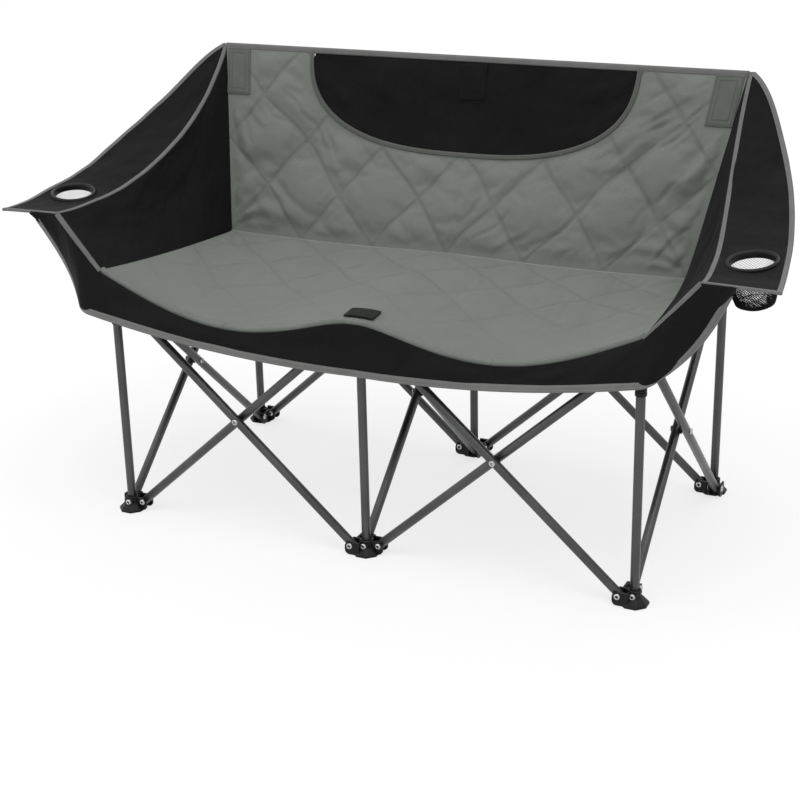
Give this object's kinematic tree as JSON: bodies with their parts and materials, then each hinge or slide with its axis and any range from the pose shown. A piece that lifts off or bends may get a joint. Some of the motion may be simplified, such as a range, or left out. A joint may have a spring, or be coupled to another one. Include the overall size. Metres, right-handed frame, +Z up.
{
  "type": "folding camping loveseat",
  "caption": "Two-person folding camp chair: scissor tube frame, quilted seat and back, black cloth arms with cup holders.",
  "frame": {"origin": "on the floor, under the centre of the bounding box", "axes": "+X to the right of someone looking at the front, -Y to the front, +Z up"},
  "size_m": [1.4362, 0.5902, 0.8091],
  "materials": {
    "painted_tube": "satin gunmetal paint",
    "black_plastic": "moulded, matt",
    "rivet_steel": "plain",
    "grey_quilt": "woven, quilted",
    "black_cloth": "woven",
    "black_net": "open mesh"
  },
  "bodies": {
    "rear_centre_post": {"post_rear_centre": "painted_tube", "foot_rear_centre": "black_plastic"},
    "centre_tube_a": {"centre_tube_a": "painted_tube", "centre_crossing_rivet": "rivet_steel"},
    "centre_tube_b": {"centre_tube_b": "painted_tube"},
    "front_centre_leg": {"leg_front_centre": "painted_tube", "foot_front_centre": "black_plastic", "collar_front_centre": "black_plastic"},
    "front_centre_hub": {"hub_front_centre": "black_plastic", "slide_front_centre": "painted_tube", "front_skirt": "black_cloth"},
    "rear_left_tube_a": {"rear_left_tube_a": "painted_tube", "rear_left_crossing_rivet": "rivet_steel"},
    "rear_left_tube_b": {"rear_left_tube_b": "painted_tube"},
    "rear_left_post": {"post_rear_left": "painted_tube", "foot_rear_left": "black_plastic", "side_wall_left": "black_cloth", "arm_panel_left": "black_cloth"},
    "rear_left_hub": {"hub_rear_left": "black_plastic"},
    "rear_centre_hub": {"hub_rear_centre": "black_plastic"},
    "rear_right_tube_a": {"rear_right_tube_a": "painted_tube", "rear_right_crossing_rivet": "rivet_steel"},
    "rear_right_tube_b": {"rear_right_tube_b": "painted_tube"},
    "rear_right_post": {"post_rear_right": "painted_tube", "foot_rear_right": "black_plastic", "side_wall_right": "black_cloth", "arm_panel_right": "black_cloth"},
    "rear_right_hub": {"hub_rear_right": "black_plastic"},
    "front_left_tube_a": {"front_left_tube_a": "painted_tube", "front_left_crossing_rivet": "rivet_steel"},
    "front_left_tube_b": {"front_left_tube_b": "painted_tube"},
    "front_left_leg": {"leg_front_left": "painted_tube", "foot_front_left": "black_plastic", "collar_front_left": "black_plastic"},
    "front_left_hub": {"hub_front_left": "black_plastic", "slide_front_left": "painted_tube"},
    "front_right_tube_a": {"front_right_tube_a": "painted_tube", "front_right_crossing_rivet": "rivet_steel"},
    "front_right_tube_b": {"front_right_tube_b": "painted_tube"},
    "front_right_leg": {"leg_front_right": "painted_tube", "foot_front_right": "black_plastic", "collar_front_right": "black_plastic"},
    "front_right_hub": {"hub_front_right": "black_plastic", "slide_front_right": "painted_tube"},
    "side_left_tube_a": {"side_left_tube_a": "painted_tube", "side_left_crossing_rivet": "rivet_steel"},
    "side_left_tube_b": {"side_left_tube_b": "painted_tube"},
    "side_right_tube_a": {"side_right_tube_a": "painted_tube", "side_right_crossing_rivet": "rivet_steel"},
    "side_right_tube_b": {"side_right_tube_b": "painted_tube"},
    "back_cloth": {"back_pad": "grey_quilt", "back_black_panel": "black_cloth"},
    "seat_outer_left": {"seat_outer_left": "grey_quilt"},
    "seat_inner_left": {"seat_inner_left": "grey_quilt"},
    "seat_inner_right": {"seat_inner_right": "grey_quilt"},
    "seat_outer_right": {"seat_outer_right": "grey_quilt"},
    "cup_left": {"cup_ring_left": "black_plastic", "cup_basket_left": "black_net"},
    "cup_right": {"cup_ring_right": "black_plastic", "cup_basket_right": "black_net"}
  },
  "joints": [
    {"name": "fold", "type": "hinge", "parent": "rear_centre_post", "child": "centre_tube_a", "pos_m": [0.009, 0.24515, 0.018], "axis": [-1, 0, 0], "range_deg": [0, 44], "deforming": ["seat_outer_left", "seat_inner_left", "seat_inner_right", "seat_outer_right", "back_pad", "back_black_panel", "side_wall_left", "arm_panel_left", "side_wall_right", "arm_panel_right", "front_skirt"]},
    {"name": "centre_crossing", "type": "hinge", "parent": "centre_tube_a", "child": "centre_tube_b", "pos_m": [0, 0.01915, 0.221], "axis": [-1, 0, 0], "range_deg": [-88, 0]},
    {"name": "front_centre_foot_pivot", "type": "hinge", "parent": "centre_tube_b", "child": "front_centre_leg", "pos_m": [-0.009, -0.20685, 0.018], "axis": [-1, 0, 0], "range_deg": [0, 44]},
    {"name": "front_centre_hub_pivot", "type": "hinge", "parent": "centre_tube_a", "child": "front_centre_hub", "pos_m": [0.009, -0.20685, 0.424], "axis": [-1, 0, 0], "range_deg": [-44, 0]},
    {"name": "rear_left_swing", "type": "hinge", "parent": "rear_centre_post", "child": "rear_left_tube_a", "pos_m": [-0.024, 0.26015, 0.018], "axis": [0, 1, 0], "range_deg": [0, 44]},
    {"name": "rear_left_crossing", "type": "hinge", "parent": "rear_left_tube_a", "child": "rear_left_tube_b", "pos_m": [-0.25, 0.26915, 0.221], "axis": [0, 1, 0], "range_deg": [-88, 0]},
    {"name": "rear_left_foot_pivot", "type": "hinge", "parent": "rear_left_tube_b", "child": "rear_left_post", "pos_m": [-0.476, 0.27815, 0.018], "axis": [0, 1, 0], "range_deg": [0, 44]},
    {"name": "rear_left_hub_pivot", "type": "hinge", "parent": "rear_left_tube_a", "child": "rear_left_hub", "pos_m": [-0.476, 0.26015, 0.424], "axis": [0, 1, 0], "range_deg": [-44, 0]},
    {"name": "rear_centre_hub_pivot", "type": "hinge", "parent": "rear_left_tube_b", "child": "rear_centre_hub", "pos_m": [-0.024, 0.27815, 0.424], "axis": [0, 1, 0], "range_deg": [0, 44]},
    {"name": "rear_right_swing", "type": "hinge", "parent": "rear_centre_post", "child": "rear_right_tube_a", "pos_m": [0.024, 0.27815, 0.018], "axis": [0, -1, 0], "range_deg": [0, 44]},
    {"name": "rear_right_crossing", "type": "hinge", "parent": "rear_right_tube_a", "child": "rear_right_tube_b", "pos_m": [0.25, 0.26915, 0.221], "axis": [0, -1, 0], "range_deg": [-88, 0]},
    {"name": "rear_right_foot_pivot", "type": "hinge", "parent": "rear_right_tube_b", "child": "rear_right_post", "pos_m": [0.476, 0.26015, 0.018], "axis": [0, -1, 0], "range_deg": [0, 44]},
    {"name": "rear_right_hub_pivot", "type": "hinge", "parent": "rear_right_tube_a", "child": "rear_right_hub", "pos_m": [0.476, 0.27815, 0.424], "axis": [0, -1, 0], "range_deg": [-44, 0]},
    {"name": "front_left_swing", "type": "hinge", "parent": "front_centre_leg", "child": "front_left_tube_a", "pos_m": [-0.024, -0.23985, 0.018], "axis": [0, 1, 0], "range_deg": [0, 44]},
    {"name": "front_left_crossing", "type": "hinge", "parent": "front_left_tube_a", "child": "front_left_tube_b", "pos_m": [-0.25, -0.23085, 0.221], "axis": [0, 1, 0], "range_deg": [-88, 0]},
    {"name": "front_left_foot_pivot", "type": "hinge", "parent": "front_left_tube_b", "child": "front_left_leg", "pos_m": [-0.476, -0.22185, 0.018], "axis": [0, 1, 0], "range_deg": [0, 44]},
    {"name": "front_left_hub_pivot", "type": "hinge", "parent": "front_left_tube_a", "child": "front_left_hub", "pos_m": [-0.476, -0.23985, 0.424], "axis": [0, 1, 0], "range_deg": [-44, 0]},
    {"name": "front_right_swing", "type": "hinge", "parent": "front_centre_leg", "child": "front_right_tube_a", "pos_m": [0.024, -0.22185, 0.018], "axis": [0, -1, 0], "range_deg": [0, 44]},
    {"name": "front_right_crossing", "type": "hinge", "parent": "front_right_tube_a", "child": "front_right_tube_b", "pos_m": [0.25, -0.23085, 0.221], "axis": [0, -1, 0], "range_deg": [-88, 0]},
    {"name": "front_right_foot_pivot", "type": "hinge", "parent": "front_right_tube_b", "child": "front_right_leg", "pos_m": [0.476, -0.23985, 0.018], "axis": [0, -1, 0], "range_deg": [0, 44]},
    {"name": "front_right_hub_pivot", "type": "hinge", "parent": "front_right_tube_a", "child": "front_right_hub", "pos_m": [0.476, -0.22185, 0.424], "axis": [0, -1, 0], "range_deg": [-44, 0]},
    {"name": "side_left_swing", "type": "hinge", "parent": "rear_left_post", "child": "side_left_tube_a", "pos_m": [-0.491, 0.24515, 0.018], "axis": [-1, 0, 0], "range_deg": [0, 44]},
    {"name": "side_left_crossing", "type": "hinge", "parent": "side_left_tube_a", "child": "side_left_tube_b", "pos_m": [-0.5, 0.01915, 0.221], "axis": [-1, 0, 0], "range_deg": [-88, 0]},
    {"name": "side_right_swing", "type": "hinge", "parent": "rear_right_post", "child": "side_right_tube_a", "pos_m": [0.509, 0.24515, 0.018], "axis": [-1, 0, 0], "range_deg": [0, 44]},
    {"name": "side_right_crossing", "type": "hinge", "parent": "side_right_tube_a", "child": "side_right_tube_b", "pos_m": [0.5, 0.01915, 0.221], "axis": [-1, 0, 0], "range_deg": [-88, 0]},
    {"name": "back_swing", "type": "hinge", "parent": "rear_centre_post", "child": "back_cloth", "pos_m": [0, 0.25815, 0.807], "axis": [1, 0, 0], "range_deg": [0, 12]},
    {"name": "seat_outer_left_pleat", "type": "hinge", "parent": "rear_left_hub", "child": "seat_outer_left", "pos_m": [-0.469, 0.01915, 0.457], "axis": [0, 1, 0], "range_deg": [0, 90]},
    {"name": "seat_inner_left_pleat", "type": "hinge", "parent": "rear_centre_hub", "child": "seat_inner_left", "pos_m": [-0.026, 0.01915, 0.457], "axis": [0, -1, 0], "range_deg": [0, 90]},
    {"name": "seat_inner_right_pleat", "type": "hinge", "parent": "rear_centre_hub", "child": "seat_inner_right", "pos_m": [0.026, 0.01915, 0.457], "axis": [0, 1, 0], "range_deg": [0, 90]},
    {"name": "seat_outer_right_pleat", "type": "hinge", "parent": "rear_right_hub", "child": "seat_outer_right", "pos_m": [0.469, 0.01915, 0.457], "axis": [0, -1, 0], "range_deg": [0, 90]},
    {"name": "cup_left_gather", "type": "slide", "parent": "rear_left_post", "child": "cup_left", "axis": [0.2068, 0.8322, 0.5145], "range_m": [0, 0.397]},
    {"name": "cup_right_gather", "type": "slide", "parent": "rear_right_post", "child": "cup_right", "axis": [-0.2068, 0.8322, 0.5145], "range_m": [0, 0.397]}
  ],
  "couplings": [
    {"joint": "centre_crossing", "follows": "fold", "ratio": -2},
    {"joint": "front_centre_foot_pivot", "follows": "fold", "ratio": 1},
    {"joint": "front_centre_hub_pivot", "follows": "fold", "ratio": -1},
    {"joint": "rear_left_swing", "follows": "fold", "ratio": 1},
    {"joint": "rear_left_crossing", "follows": "fold", "ratio": -2},
    {"joint": "rear_left_foot_pivot", "follows": "fold", "ratio": 1},
    {"joint": "rear_left_hub_pivot", "follows": "fold", "ratio": -1},
    {"joint": "rear_centre_hub_pivot", "follows": "fold", "ratio": 1},
    {"joint": "rear_right_swing", "follows": "fold", "ratio": 1},
    {"joint": "rear_right_crossing", "follows": "fold", "ratio": -2},
    {"joint": "rear_right_foot_pivot", "follows": "fold", "ratio": 1},
    {"joint": "rear_right_hub_pivot", "follows": "fold", "ratio": -1},
    {"joint": "front_left_swing", "follows": "fold", "ratio": 1},
    {"joint": "front_left_crossing", "follows": "fold", "ratio": -2},
    {"joint": "front_left_foot_pivot", "follows": "fold", "ratio": 1},
    {"joint": "front_left_hub_pivot", "follows": "fold", "ratio": -1},
    {"joint": "front_right_swing", "follows": "fold", "ratio": 1},
    {"joint": "front_right_crossing", "follows": "fold", "ratio": -2},
    {"joint": "front_right_foot_pivot", "follows": "fold", "ratio": 1},
    {"joint": "front_right_hub_pivot", "follows": "fold", "ratio": -1},
    {"joint": "side_left_swing", "follows": "fold", "ratio": 1},
    {"joint": "side_left_crossing", "follows": "fold", "ratio": -2},
    {"joint": "side_right_swing", "follows": "fold", "ratio": 1},
    {"joint": "side_right_crossing", "follows": "fold", "ratio": -2},
    {"joint": "back_swing", "follows": "fold", "ratio": 0.27273},
    {"joint": "seat_outer_left_pleat", "follows": "fold", "ratio": 2.0455},
    {"joint": "seat_inner_left_pleat", "follows": "fold", "ratio": 2.0455},
    {"joint": "seat_inner_right_pleat", "follows": "fold", "ratio": 2.0455},
    {"joint": "seat_outer_right_pleat", "follows": "fold", "ratio": 2.0455},
    {"joint": "cup_left_gather", "follows": "fold", "m_per_rad": 0.51696},
    {"joint": "cup_right_gather", "follows": "fold", "m_per_rad": 0.51696}
  ]
}
